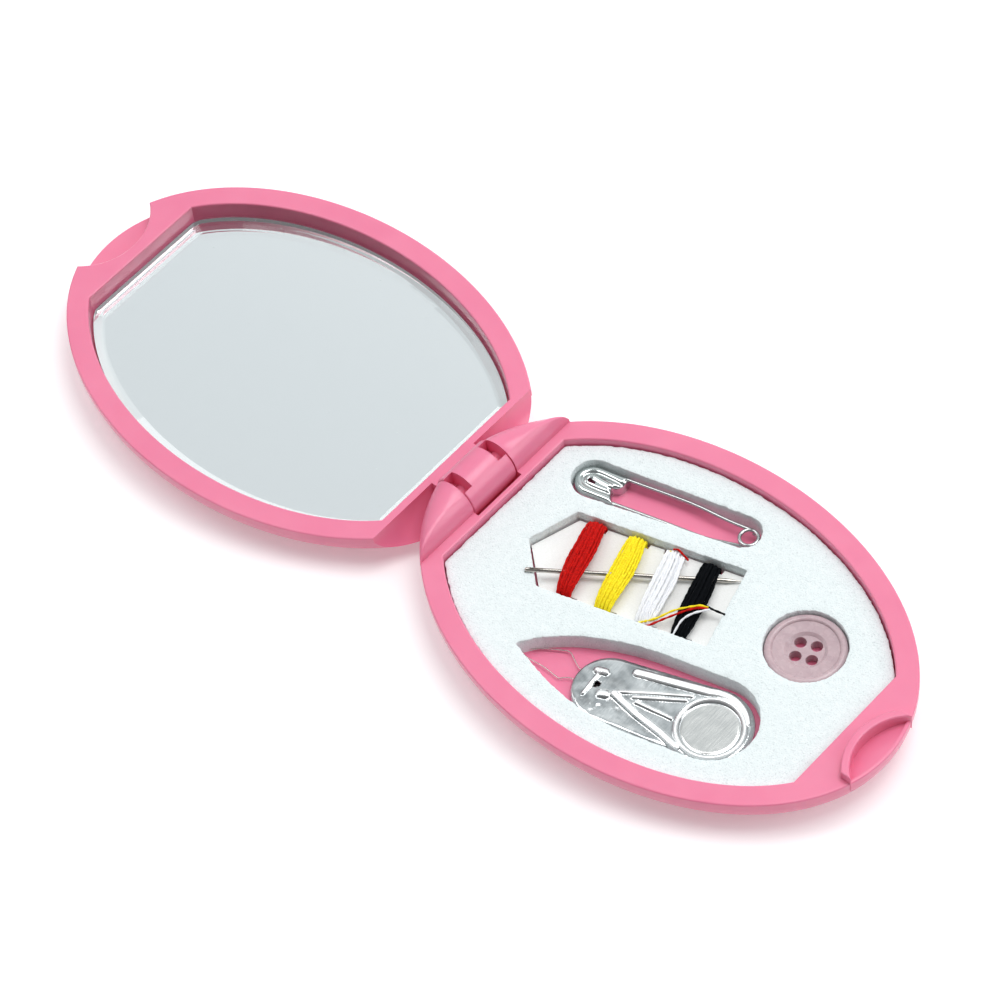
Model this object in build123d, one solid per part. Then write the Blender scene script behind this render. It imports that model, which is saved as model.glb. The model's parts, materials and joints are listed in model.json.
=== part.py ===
"""Oval pocket compact: a mirror in the lid and a travel sewing kit in the base.

Units are millimetres and +Z is up. The compact lies open and flat. The hinge axis runs along Y, straight above the
origin, the base lies towards +X and the lid towards -X.
"""
from build123d import *
import os
from math import atan2, cos, degrees, hypot, pi, radians, sin

# Both half shells have the same oval outline
SHELL_A = 38.0
SHELL_B = 26.2
CENTRE_X = 34.2
SIDE_WALL = 1.25
BELLY_STEP = 0.12
CORNER_R = 3.7
CORNER_SWEEP = 65.0
BELLY_R = 18.0
HALF_HEIGHT = SIDE_WALL + CORNER_R * sin(radians(CORNER_SWEEP)) + BELLY_R * (1 - sin(radians(CORNER_SWEEP)))
RIM_Z = HALF_HEIGHT
PARTING_GAP = 0.06
LID_RIM_Z = RIM_Z - PARTING_GAP

# Recess in each half
RECESS_A = 34.8
RECESS_B = 22.9
BASE_RECESS_NEAR = 5.0
LID_RECESS_NEAR = 5.7
RECESS_FAR = 65.1
BASE_RECESS_DEPTH = 4.0
LID_RECESS_DEPTH = 4.3
EDGE_R = 0.25

# Hinge
KNUCKLE_R = 3.5
LID_CUT_R = 4.5
SLOT_R = 4.3
BARREL_HALF = 4.3
KNUCKLE_START = 4.45
# distance along the hinge axis: x of the horn's ridge there
HORN_RIDGE = {KNUCKLE_START: 2.0, 7.2: 1.95, 10: 2.05, 12.7: 2.5, 14.4: 3.0, 15.35: 3.455}
RIDGE_SHARE = 0.16
STUB_R = 1.2
STUB_CLEARANCE = 0.05
STUB_LENGTH = 2.2
NOTCH_HALF_WIDTH = 1.9
NOTCH_DEPTH = 1.6
STOP_GAP = 0.2

# Catch: a curved rib on the base and the notch around it in the lid
CATCH_CENTRE = 76.2
CATCH_NOTCH_R = 9.3
CATCH_CLEARANCE = 0.12
RIB_THICKNESS = 1.15
RIB_HALF_WIDTH = 6.3
RIB_HEIGHT = 1.3
SCOOP_DEPTH = 1.1
SCOOP_EDGE = 71.8
SCOOP_MARGIN = 0.5
LEDGE_DEPTH = 2.7

# Mirror
MIRROR_GAP = 0.35
MIRROR_THICKNESS = 1.75
MIRROR_BEVEL = 1.4
MIRROR_BEVEL_DROP = 0.3
ADHESIVE = 0.1

# Foam insert
FLOOR_Z = RIM_Z - BASE_RECESS_DEPTH
FOAM_GAP = 0.2
FOAM_TOP = RIM_Z - 1.2
FOAM_BOTTOM = FLOOR_Z + ADHESIVE

# Thread card, in a frame turned by CARD_ANGLE about CARD_CENTRE
CARD_CENTRE = (28.1, 2.2)
CARD_ANGLE = 15.7
CARD_POCKET_LEFT = -12.85
CARD_POCKET_RIGHT = 12.45
CARD_POCKET_WIDTH = 13.35
CARD_POINT = 4.3
CARD_GAP = 0.3
CARD_TOP = RIM_Z - 2.75
CARD_THICKNESS = 0.4
CARD_NOTCH = 0.75
THREAD_THICKNESS = 0.4
# colour: (middle, width, slant in degrees, height of the arch over the card)
THREADS = {
    "red": (-9.2, 2.35, 5.0, 2.1),
    "yellow": (-3.2, 2.75, 3.0, 1.7),
    "white": (2.5, 2.7, 5.0, 1.4),
    "black": (8.0, 2.5, 3.5, 1.3),
}

# Needle, in the card's frame
NEEDLE_R = 0.32
NEEDLE_EYE = (-15.3, -5.05, FOAM_TOP + NEEDLE_R + 0.02)
NEEDLE_TIP = (12.1, 5.42, RIM_Z - 2.38)
NEEDLE_TAPER = 2.0

# Safety pin, in a frame turned by PIN_ANGLE about PIN_CENTRE
PIN_CENTRE = (23.0, 14.0)
PIN_ANGLE = 13.0
PIN_POCKET = ((-11.5, -0.75, 3.2), (11.05, 0.1, 2.65))
PIN_Z = FLOOR_Z + 0.02
WIRE_R = 0.27
COIL = (11.8, 0.2)
COIL_R = 1.3
ARM_BEND = (6.0, -2.05)
CAP_HEIGHT = 2.1
SHEET = 0.2
COIL_HIGH = PIN_Z + CAP_HEIGHT - SHEET - WIRE_R - 0.03
COIL_LOW = COIL_HIGH - 2 * WIRE_R - 0.04
CAP_LEFT = -12.0
CAP_RIGHT = -7.45
CAP_MIDDLE = -0.4
CAP_HALF = 2.5

# Button
BUTTON_CENTRE = (52.3, 7.4)
BUTTON_ANGLE = 22.0
BUTTON_R = 5.6
BUTTON_HOLE_IN_FOAM_R = 5.8
BUTTON_THICKNESS = 2.3
BUTTON_HOLE_R = 0.85
BUTTON_HOLE_SPACING = 2.3

# Needle threader, in a frame turned by THREADER_ANGLE about THREADER_CENTRE
THREADER_CENTRE = (50.0, -10.3)
THREADER_ANGLE = 13.0
THREADER_LEFT = (-14.9, 0.3, 5.25)
THREADER_RIGHT = (-0.1, 1.1, 5.95)
THREADER_POCKET_END = (0.0, 1.1, 6.6)
MEDALLION = (0.2, 0.4)
MEDALLION_R = 4.05
PLATE = 0.3
THREADER_WIRE_R = 0.09
THREADER_Z = FLOOR_Z + 0.05


def placed(shape, centre, angle):
    """Move a shape from its own frame into the compact's."""
    return Pos(centre[0], centre[1], 0) * Rot(0, 0, angle) * shape


def prism(face, bottom, top):
    return extrude(Pos(0, 0, bottom) * face, amount=top - bottom)


def belly_sections():
    """Depth below the side wall and inset of the rounded underside."""
    for angle in (0, 8, 18, 30, 42, 54, CORNER_SWEEP):
        a = radians(angle)
        yield CORNER_R * sin(a), CORNER_R * (1 - cos(a))
    sweep = radians(CORNER_SWEEP)
    depth = CORNER_R * sin(sweep)
    inset = CORNER_R * (1 - cos(sweep))
    for angle in (70, 75, 80, 85, 90):
        a = radians(angle)
        yield depth + BELLY_R * (sin(a) - sin(sweep)), inset + BELLY_R * (cos(sweep) - cos(a))


def half_body(side, up=1):
    """Solid oval half with a rounded face: below the rim for up=1, above it for up=-1."""
    x = side * CENTRE_X
    outline = Pos(x, 0, 0) * Ellipse(SHELL_A, SHELL_B)
    wall = prism(outline, -SIDE_WALL, 0)
    sections = []
    for depth, inset in belly_sections():
        ring = Ellipse(SHELL_A - BELLY_STEP - inset, SHELL_B - BELLY_STEP - inset)
        sections.append(Pos(x, 0, -SIDE_WALL - depth) * ring)
    body = wall + loft(sections)
    if up < 0:
        body = mirror(body, Plane.XY)
    return body


def recess_face(side, gap=0.0):
    """Oval with two straight ends, the outline of both recesses."""
    oval = Pos(side * CENTRE_X, 0, 0) * Ellipse(RECESS_A - gap, RECESS_B - gap)
    near = BASE_RECESS_NEAR if side > 0 else LID_RECESS_NEAR
    length = RECESS_FAR - near - 2 * gap
    middle = (RECESS_FAR + near) / 2
    return oval & (Pos(side * middle, 0, 0) * Rectangle(length, 2 * SHELL_B))


def rod_along_y(radius, start, end):
    """Cylinder on the hinge axis from y=start to y=end, with the rim plane as z=0."""
    return Pos(0, (start + end) / 2, 0) * Rot(90, 0, 0) * Cylinder(radius, end - start)


def horn_section(y, hand):
    """Slice of a horn across the hinge axis: a broad outer arc and the hinge's own round, meeting in a soft ridge."""
    outer = CENTRE_X - SHELL_A * (1 - (y / SHELL_B) ** 2) ** 0.5
    ridge_x = HORN_RIDGE[y]
    centre = (KNUCKLE_R ** 2 - outer ** 2) / (2 * (ridge_x - outer))
    outer_r = centre - outer
    soft = RIDGE_SHARE * (KNUCKLE_R - outer)
    inner = KNUCKLE_R - soft
    x = (inner ** 2 - (outer_r - soft) ** 2 + centre ** 2) / (2 * centre)
    z = (inner ** 2 - x ** 2) ** 0.5
    left = atan2(z, x - centre)
    right = atan2(z, x)

    def on(middle, radius, angle):
        return (middle + radius * cos(angle), radius * sin(angle))

    first, last = on(centre, outer_r, left), on(0, KNUCKLE_R, right)
    top = (x + soft * cos((left + right) / 2), z + soft * sin((left + right) / 2))
    edges = [
        ThreePointArc((outer, 0), on(centre, outer_r, (pi + left) / 2), first),
        ThreePointArc(first, top, last),
        ThreePointArc(last, on(0, KNUCKLE_R, right / 2), (KNUCKLE_R, 0)),
        Line((KNUCKLE_R, 0), (outer, 0)),
    ]
    return Plane(origin=(0, hand * y, 0), x_dir=(1, 0, 0), z_dir=(0, -1, 0)) * make_face(edges)


def knuckle(hand):
    """Horn beside the barrel: round on the hinge side and pared to a point along the oval's outside."""
    upper = loft([horn_section(y, hand) for y in HORN_RIDGE])
    rod = rod_along_y(KNUCKLE_R, KNUCKLE_START, SHELL_B)
    if hand < 0:
        rod = rod_along_y(KNUCKLE_R, -SHELL_B, -KNUCKLE_START)
    lower = rod & half_body(1) & Pos(0, 0, -HALF_HEIGHT / 2) * Box(4 * KNUCKLE_R, 3 * SHELL_B, HALF_HEIGHT)
    return upper + lower


def stub(hand):
    if hand > 0:
        return rod_along_y(STUB_R, KNUCKLE_START - STUB_LENGTH, KNUCKLE_START + 0.5)
    return rod_along_y(STUB_R, -KNUCKLE_START - 0.5, -KNUCKLE_START + STUB_LENGTH)


def catch_rib():
    inner = CATCH_NOTCH_R - CATCH_CLEARANCE - RIB_THICKNESS
    ring = Circle(CATCH_NOTCH_R - CATCH_CLEARANCE) - Circle(inner)
    window = Pos(-CATCH_NOTCH_R, 0, 0) * Rectangle(2 * CATCH_NOTCH_R, 2 * RIB_HALF_WIDTH)
    rib = prism(Pos(CATCH_CENTRE, 0, 0) * (ring & window), -SCOOP_DEPTH - 0.5, RIB_HEIGHT)
    top = rib.edges().filter_by(lambda e: e.center().Z > RIB_HEIGHT - 0.01)
    return fillet(top, EDGE_R)


def catch_scoop():
    """Sloping finger dip between the rib and the outer edge."""
    inner = CATCH_NOTCH_R - CATCH_CLEARANCE - RIB_THICKNESS
    foot = CATCH_CENTRE - inner
    slope = Polyline((foot - 1, 2), (foot - 1, -SCOOP_DEPTH), (foot, -SCOOP_DEPTH), (SCOOP_EDGE, 0),
                     (SCOOP_EDGE, 2), close=True)
    wedge = extrude(Plane.XZ * make_face(slope), amount=RIB_HALF_WIDTH + 2, both=True)
    disc = prism(Pos(CATCH_CENTRE, 0, 0) * Circle(inner + 0.1), -2, 2)
    inside = prism(Pos(CENTRE_X, 0, 0) * Ellipse(SHELL_A - SCOOP_MARGIN, SHELL_B - SCOOP_MARGIN), -2, 2)
    return wedge & disc & inside


def rim_edges(shape, level, beyond):
    """Edges in the rim plane, further than `beyond` from the hinge."""
    return [e for e in shape.edges()
            if abs(e.center().Z - level) < 0.001 and abs(e.bounding_box().min.Z - level) < 0.001
            and abs(e.center().X) > beyond]


def base_shell():
    body = half_body(1)
    body -= Pos(-SHELL_A, 0, -HALF_HEIGHT / 2) * Box(2 * SHELL_A, 3 * SHELL_B, 2 * HALF_HEIGHT)
    body -= prism(recess_face(1), -BASE_RECESS_DEPTH, 1)
    body = fillet(rim_edges(body, 0, BASE_RECESS_NEAR - 1), EDGE_R)
    body += knuckle(1) + knuckle(-1)
    body -= rod_along_y(SLOT_R, -KNUCKLE_START, KNUCKLE_START)
    body += stub(1) + stub(-1)
    body -= catch_scoop()
    body += catch_rib()
    return Pos(0, 0, RIM_Z) * body


def barrel():
    rod = rod_along_y(KNUCKLE_R, -BARREL_HALF, BARREL_HALF)
    ends = rod.edges().filter_by(GeomType.CIRCLE)
    rod = fillet(ends, EDGE_R)
    web = Pos(-LID_CUT_R / 2 - 0.25, 0, -KNUCKLE_R / 2) * Box(LID_CUT_R + 0.5, 2 * BARREL_HALF, KNUCKLE_R - 0.1)
    return rod + web


def barrel_cuts():
    """Bores for the stub pins and the two open notches above them."""
    bore_r = STUB_R + STUB_CLEARANCE
    depth = STUB_LENGTH - (KNUCKLE_START - BARREL_HALF) + 0.1
    cuts = rod_along_y(bore_r, BARREL_HALF - depth, BARREL_HALF + 1)
    cuts += rod_along_y(bore_r, -BARREL_HALF - 1, -BARREL_HALF + depth)
    for hand in (1, -1):
        cutter = Box(2 * NOTCH_HALF_WIDTH, 2 * NOTCH_DEPTH, KNUCKLE_R)
        cuts += Pos(0, hand * BARREL_HALF, KNUCKLE_R / 2 + 0.6) * cutter
    return cuts


def lid_shell():
    rim = -PARTING_GAP
    body = half_body(-1)
    body -= prism(Pos(-CENTRE_X, 0, 0) * Rectangle(3 * SHELL_A, 3 * SHELL_B), rim, 1)
    body -= Pos(SHELL_A - STOP_GAP, 0, -HALF_HEIGHT / 2) * Box(2 * SHELL_A, 3 * SHELL_B, 2 * HALF_HEIGHT)
    body -= prism(recess_face(-1), rim - LID_RECESS_DEPTH, 1)
    body -= prism(Pos(-CATCH_CENTRE, 0, 0) * Circle(CATCH_NOTCH_R), rim - LEDGE_DEPTH, 1)
    body = fillet(rim_edges(body, rim, LID_RECESS_NEAR), EDGE_R)
    body -= rod_along_y(LID_CUT_R, -SHELL_B, SHELL_B)
    body += barrel()
    body -= barrel_cuts()
    return Pos(0, 0, RIM_Z) * body


def looking_glass():
    top = LID_RIM_Z - LID_RECESS_DEPTH + ADHESIVE + MIRROR_THICKNESS
    plate = prism(recess_face(-1, MIRROR_GAP), top - MIRROR_THICKNESS, top)
    edges = plate.faces().sort_by(Axis.Z)[-1].edges()
    face = plate.faces().sort_by(Axis.Z)[-1]
    return chamfer(edges, MIRROR_BEVEL_DROP, MIRROR_BEVEL, reference=face)


def mirror_adhesive():
    bottom = LID_RIM_Z - LID_RECESS_DEPTH
    return prism(recess_face(-1, 2.0), bottom, bottom + ADHESIVE)


def hull_face(left, right):
    """Outline around two circles, each (x, y, radius)."""
    return make_hull((Pos(left[0], left[1], 0) * Circle(left[2])).edges()
                     + (Pos(right[0], right[1], 0) * Circle(right[2])).edges())


def card_outline(gap):
    """Pocket for the card, drawn in by a gap: a rectangle with a pointed end."""
    left, right, wide = CARD_POCKET_LEFT + gap, CARD_POCKET_RIGHT - gap, CARD_POCKET_WIDTH / 2 - gap
    return make_face(Polyline((left, wide), (right, wide), (right, -wide), (left, -wide), (left - CARD_POINT, 0),
                              close=True))


def card_pocket():
    return placed(card_outline(0), CARD_CENTRE, CARD_ANGLE)


def threader_pocket():
    tip = (-29.0, 0.4)
    x, y, r = THREADER_POCKET_END
    top = Spline(tip, (-19.2, 6.0), (x - 9, y + r - 0.2), tangents=((0.8, 0.9), (1, 0.02)))
    lead_in = Line(top @ 1, (x, y + r))
    round_end = ThreePointArc((x, y + r), (x + r, y), (x, y - r))
    bottom = Line((x, y - r), (-9.0, -5.75))
    back = Spline((-9.0, -5.75), (-19.5, -4.1), tip, tangents=((-1, 0.0), (-0.9, 0.5)))
    return placed(make_face([top, lead_in, round_end, bottom, back]), THREADER_CENTRE, THREADER_ANGLE)


def kit_pockets():
    """Every cut-out in the foam and in the film under it."""
    pin = placed(hull_face(*PIN_POCKET), PIN_CENTRE, PIN_ANGLE)
    button_hole = Pos(BUTTON_CENTRE[0], BUTTON_CENTRE[1], 0) * Circle(BUTTON_HOLE_IN_FOAM_R)
    return [card_pocket(), pin, threader_pocket(), button_hole]


def foam_insert():
    sheet = prism(recess_face(1, FOAM_GAP), FOAM_BOTTOM, FOAM_TOP)
    for pocket in kit_pockets():
        sheet -= prism(pocket, FOAM_BOTTOM - 1, FOAM_TOP + 1)
    return sheet - placed(needle_rod(NEEDLE_R + 0.08), CARD_CENTRE, CARD_ANGLE)


def foam_adhesive():
    film = prism(recess_face(1, 1.0), FLOOR_Z, FOAM_BOTTOM)
    for pocket in kit_pockets():
        film -= prism(pocket, FLOOR_Z - 1, FOAM_TOP)
    return film


def thread_card():
    face = card_outline(CARD_GAP)
    wide = CARD_POCKET_WIDTH / 2 - CARD_GAP
    for middle, width, slant, _ in THREADS.values():
        lean = wide * sin(radians(slant))
        for end in (1, -1):
            mouth = width / 2 + 0.55
            foot = width / 2 + 0.2
            notch = Polyline((-foot, -CARD_NOTCH), (foot, -CARD_NOTCH), (mouth, 1), (-mouth, 1), close=True)
            turned = Rot(0, 0, 0 if end > 0 else 180) * make_face(notch)
            face -= Pos(middle - end * lean, end * wide, 0) * turned
    return placed(prism(face, CARD_TOP - CARD_THICKNESS, CARD_TOP), CARD_CENTRE, CARD_ANGLE)


def arch_points(half, foot, height):
    """Points of an arch over the card, flat in the middle and steep at its feet."""
    return [(half * t, foot + height * (1 - abs(t) ** 5)) for t in (-1, -0.85, -0.6, 0, 0.6, 0.85, 1)]


def winding_outline(half, foot_top, rise, foot_bottom, drop):
    top = arch_points(half, foot_top, rise)
    bottom = arch_points(half, foot_bottom, -drop)
    edges = [Spline(*top), Line(top[-1], bottom[-1]), Spline(*reversed(bottom)), Line(bottom[0], top[0])]
    return make_face(edges)


def thread_winding(colour):
    middle, width, slant, arch = THREADS[colour]
    notch = CARD_POCKET_WIDTH / 2 - CARD_GAP - CARD_NOTCH
    inner = notch + 0.12
    outer = inner + THREAD_THICKNESS
    low = CARD_TOP - CARD_THICKNESS
    face = winding_outline(outer, CARD_TOP + 0.3, arch + 0.15, low - 0.2, 0.5)
    face -= winding_outline(inner, CARD_TOP + 0.05, arch, low - 0.05, 0.25)
    ring = extrude(Plane.YZ * face, amount=width / 2, both=True)
    return placed(Pos(middle, 0, 0) * Rot(0, 0, slant) * ring, CARD_CENTRE, CARD_ANGLE)


def needle_axis():
    """Start, unit direction and length of the needle, from its eye end to its point."""
    start = Vector(*NEEDLE_EYE)
    run = Vector(*NEEDLE_TIP) - start
    return start, run.normalized(), run.length


def needle_rod(radius):
    start, direction, length = needle_axis()
    return Plane(origin=start, z_dir=direction) * Pos(0, 0, length / 2) * Cylinder(radius, length)


def sewing_needle():
    start, direction, length = needle_axis()
    plane = Plane(origin=start, x_dir=(0, 0, 1), z_dir=direction)
    shaft = length - NEEDLE_TAPER
    body = Pos(0, 0, shaft / 2) * Cylinder(NEEDLE_R, shaft)
    body += Pos(0, 0, shaft + NEEDLE_TAPER / 2) * Cone(NEEDLE_R, 0.06, NEEDLE_TAPER)
    body -= Pos(0, 0, 1.6) * Box(4 * NEEDLE_R, 0.26, 1.9)
    rounding = Pos(0, 0, 0.32) * Sphere(NEEDLE_R) + Pos(0, 0, 0.32 + length / 2) * Cylinder(1, length)
    return placed(plane * (body & rounding), CARD_CENTRE, CARD_ANGLE)


def wire_between(start, end):
    run = Vector(*end) - Vector(*start)
    return Plane(origin=start, z_dir=run) * Pos(0, 0, run.length / 2) * Cylinder(WIRE_R, run.length)


def coil_ring(level):
    return Pos(COIL[0], COIL[1], level) * Torus(COIL_R, WIRE_R)


def pin_back_wire():
    top = CAP_MIDDLE + CAP_HALF - SHEET - WIRE_R - 0.03
    start = (CAP_LEFT, top, COIL_HIGH)
    wire = coil_ring(COIL_HIGH) + wire_between(start, (COIL[0], COIL[1] + COIL_R, COIL_HIGH))
    return placed(wire, PIN_CENTRE, PIN_ANGLE)


def pin_arm():
    low = CAP_MIDDLE - CAP_HALF + SHEET + WIRE_R + 0.06
    tip = (CAP_LEFT + 0.6, low, COIL_LOW)
    bend = ARM_BEND + (COIL_LOW,)
    wire = coil_ring(COIL_LOW) + wire_between(tip, bend) + Pos(*bend) * Sphere(WIRE_R)
    wire += wire_between(bend, (COIL[0] - 0.3, COIL[1] - COIL_R, COIL_LOW))
    return placed(wire, PIN_CENTRE, PIN_ANGLE)


def cap_outline(inset):
    """Rounded head with a cusp on its open side."""
    top = CAP_MIDDLE + CAP_HALF - inset
    bottom = CAP_MIDDLE - CAP_HALF + inset
    left = CAP_LEFT - CAP_HALF + inset
    edges = [
        Line((CAP_RIGHT, top), (CAP_LEFT, top)),
        ThreePointArc((CAP_LEFT, top), (left, CAP_MIDDLE), (CAP_LEFT, bottom)),
        Line((CAP_LEFT, bottom), (CAP_RIGHT, bottom)),
        ThreePointArc((CAP_RIGHT, bottom), (CAP_RIGHT - 0.85, bottom + 1.05), (CAP_RIGHT - 1.35, bottom + 2.3)),
        ThreePointArc((CAP_RIGHT - 1.35, bottom + 2.3), (CAP_RIGHT - 0.45, bottom + 2.9), (CAP_RIGHT, top - 1.0)),
        Line((CAP_RIGHT, top - 1.0), (CAP_RIGHT, top)),
    ]
    return make_face(edges)


def pin_cap():
    head = prism(cap_outline(0), PIN_Z, PIN_Z + CAP_HEIGHT)
    head = fillet(head.faces().sort_by(Axis.Z)[-1].edges().sort_by(Axis.X)[0:1], 0.2)
    top = CAP_MIDDLE + CAP_HALF - SHEET
    bottom = CAP_MIDDLE - CAP_HALF + SHEET
    middle = (CAP_LEFT + CAP_RIGHT + 2) / 2
    inside = Pos(CAP_LEFT, CAP_MIDDLE, 0) * Circle(CAP_HALF - SHEET)
    inside += Pos(middle, (top + bottom) / 2, 0) * Rectangle(CAP_RIGHT + 2 - CAP_LEFT, top - bottom)
    head -= prism(inside, PIN_Z + SHEET, PIN_Z + CAP_HEIGHT - SHEET)
    slot = Pos(CAP_LEFT + 0.2, CAP_MIDDLE - 0.75, 0) * SlotOverall(1.1, 0.5)
    head -= prism(slot, PIN_Z + CAP_HEIGHT - 2 * SHEET, PIN_Z + CAP_HEIGHT + 1)
    return placed(head, PIN_CENTRE, PIN_ANGLE)


def shirt_button():
    top = BUTTON_THICKNESS
    edges = [
        Line((0, 0), (3.4, 0)),
        ThreePointArc((3.4, 0), (5.0, 0.45), (BUTTON_R, 1.35)),
        ThreePointArc((BUTTON_R, 1.35), (BUTTON_R - 0.12, top - 0.15), (BUTTON_R - 0.5, top)),
        ThreePointArc((BUTTON_R - 0.5, top), (BUTTON_R - 0.85, top - 0.05), (BUTTON_R - 1.05, top - 0.3)),
        Line((BUTTON_R - 1.05, top - 0.3), (2.95, top - 0.42)),
        ThreePointArc((2.95, top - 0.42), (2.75, top - 0.55), (2.5, top - 0.75)),
        Line((2.5, top - 0.75), (0, top - 0.8)),
        Line((0, top - 0.8), (0, 0)),
    ]
    body = revolve(Plane.XZ * make_face(edges), Axis.Z)
    for x in (-1, 1):
        for y in (-1, 1):
            hole = Cylinder(BUTTON_HOLE_R, 3 * BUTTON_THICKNESS)
            body -= Pos(x * BUTTON_HOLE_SPACING / 2, y * BUTTON_HOLE_SPACING / 2, 0) * hole
    return placed(Pos(0, 0, FLOOR_Z + 0.06) * body, BUTTON_CENTRE, BUTTON_ANGLE)


def threader_back():
    face = hull_face(THREADER_LEFT, THREADER_RIGHT)
    return placed(prism(face, THREADER_Z, THREADER_Z + PLATE), THREADER_CENTRE, THREADER_ANGLE)


def pressed_rib(start, end, width, bottom, height):
    run = (end[0] - start[0], end[1] - start[1])
    slot = SlotOverall(hypot(*run) + width, width)
    centre = ((start[0] + end[0]) / 2, (start[1] + end[1]) / 2)
    bar = prism(Rot(0, 0, degrees(atan2(run[1], run[0]))) * slot, bottom, bottom + height)
    return Pos(centre[0], centre[1], 0) * bar


def threader_front():
    skirt_bottom = THREADER_Z + PLATE + 0.24
    plate_top = THREADER_Z + 1.15
    face = hull_face(THREADER_LEFT, THREADER_RIGHT)
    inner_left = THREADER_LEFT[:2] + (THREADER_LEFT[2] - PLATE,)
    inner_right = THREADER_RIGHT[:2] + (THREADER_RIGHT[2] - PLATE,)
    plate = prism(face, skirt_bottom, plate_top)
    plate -= prism(hull_face(inner_left, inner_right), skirt_bottom - 1, plate_top - PLATE)
    bottom = plate_top - PLATE / 2
    x, y = MEDALLION
    ring = Circle(MEDALLION_R + 0.95) - Circle(MEDALLION_R)
    plate += prism(Pos(x, y, 0) * ring, bottom, bottom + 0.55)
    for start, end in (((-12.9, 4.2), (-3.0, 5.5)), ((-14.1, -0.1), (-2.6, -4.1))):
        plate += pressed_rib(start, end, 0.9, bottom, 0.55)
    for start, end in (((-11.5, 0.4), (-4.6, 3.1)), ((-10.7, -0.2), (-5.2, -0.2))):
        plate += pressed_rib(start, end, 0.5, bottom, 0.4)
    return placed(plate, THREADER_CENTRE, THREADER_ANGLE)


def threader_wire():
    """Fine wire bent into a kite, clamped between the two plates."""
    level = THREADER_Z + PLATE + 0.12
    corners = [(-17.0, 1.3), (-20.3, 1.9), (-22.6, 3.6), (-28.4, 0.9), (-22.1, -0.75), (-20.3, 0.0), (-17.0, -0.1)]
    path = FilletPolyline(*[(x, y, level) for x, y in corners], radius=0.35)
    section = Plane(origin=path @ 0, z_dir=path % 0) * Circle(THREADER_WIRE_R)
    return placed(sweep(section, path=path), THREADER_CENTRE, THREADER_ANGLE)


def main():
    os.makedirs("parts", exist_ok=True)
    nodes = {
        "base_shell": base_shell(),
        "lid_shell": lid_shell(),
        "mirror_glass": looking_glass(),
        "mirror_adhesive": mirror_adhesive(),
        "foam_insert": foam_insert(),
        "foam_adhesive": foam_adhesive(),
        "pin_back_wire": pin_back_wire(),
        "pin_arm": pin_arm(),
        "pin_cap": pin_cap(),
        "thread_card": thread_card(),
        "needle": sewing_needle(),
        "button": shirt_button(),
        "threader_front": threader_front(),
        "threader_back": threader_back(),
        "threader_wire": threader_wire(),
    }
    for colour in THREADS:
        nodes[f"thread_{colour}"] = thread_winding(colour)
    for name, shape in nodes.items():
        export_step(shape, f"parts/{name}.step")


main()
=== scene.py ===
"""Looks of the open oval pocket compact with its mirror and travel sewing kit.

Shapes are worked out in millimetres and turned into the row frame's metres as they are built. The card,
safety pin and needle threader each have a frame of their own: u along the item, v across it, turned about
its centre.
"""
import json
import random
from math import atan2, ceil, cos, hypot, pi, radians, sin
import bpy
import numpy as np
from mathutils import Matrix, Vector, geometry, noise


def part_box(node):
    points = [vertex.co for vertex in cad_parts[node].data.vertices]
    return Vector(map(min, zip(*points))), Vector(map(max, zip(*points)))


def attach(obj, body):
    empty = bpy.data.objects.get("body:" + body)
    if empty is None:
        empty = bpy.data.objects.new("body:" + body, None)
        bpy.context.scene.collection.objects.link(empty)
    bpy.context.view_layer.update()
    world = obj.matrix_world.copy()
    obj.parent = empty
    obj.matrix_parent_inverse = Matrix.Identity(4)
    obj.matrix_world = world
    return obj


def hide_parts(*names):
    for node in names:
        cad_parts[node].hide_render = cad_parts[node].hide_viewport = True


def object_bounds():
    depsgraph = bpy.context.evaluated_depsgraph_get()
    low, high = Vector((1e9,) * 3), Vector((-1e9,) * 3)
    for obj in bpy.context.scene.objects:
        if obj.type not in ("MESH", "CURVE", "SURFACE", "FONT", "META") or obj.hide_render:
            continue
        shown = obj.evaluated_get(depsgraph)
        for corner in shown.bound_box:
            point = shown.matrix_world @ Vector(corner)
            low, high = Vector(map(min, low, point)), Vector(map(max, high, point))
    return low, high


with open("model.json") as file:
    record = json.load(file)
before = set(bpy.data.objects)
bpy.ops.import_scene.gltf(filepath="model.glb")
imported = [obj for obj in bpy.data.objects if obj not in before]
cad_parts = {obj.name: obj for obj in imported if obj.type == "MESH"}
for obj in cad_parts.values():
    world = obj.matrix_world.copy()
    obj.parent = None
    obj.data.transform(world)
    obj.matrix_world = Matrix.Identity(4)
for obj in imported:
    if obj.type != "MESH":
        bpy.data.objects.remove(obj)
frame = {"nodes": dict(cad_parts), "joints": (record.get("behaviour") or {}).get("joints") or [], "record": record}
cad_box = [list(corner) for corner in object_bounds()]
nodes = frame["nodes"]
random.seed(7)

MM = 0.001

# Heights of the CAD nodes, in millimetres
RIM = frame["joints"][0]["pos_m"][2] / MM
FOAM_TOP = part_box("foam_insert")[1].z / MM
FOAM_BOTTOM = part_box("foam_insert")[0].z / MM
CARD_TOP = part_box("thread_card")[1].z / MM
CARD_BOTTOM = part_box("thread_card")[0].z / MM
MIRROR_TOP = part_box("mirror_glass")[1].z / MM
MIRROR_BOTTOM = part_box("mirror_glass")[0].z / MM
CAP_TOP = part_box("pin_cap")[1].z / MM
CAP_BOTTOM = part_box("pin_cap")[0].z / MM
FRONT_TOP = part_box("threader_front")[1].z / MM
BACK_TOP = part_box("threader_back")[1].z / MM

# Height that the pressed pattern takes above the threader's flat sheet
FOIL_RELIEF = 0.42

# Frames of the loose items: centre and turn in degrees
CARD = ((28.1, 2.2), 15.7)
PIN = ((23.0, 14.0), 13.0)
THREADER = ((50.0, -10.3), 13.0)
ROW = ((0.0, 0.0), 0.0)

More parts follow.
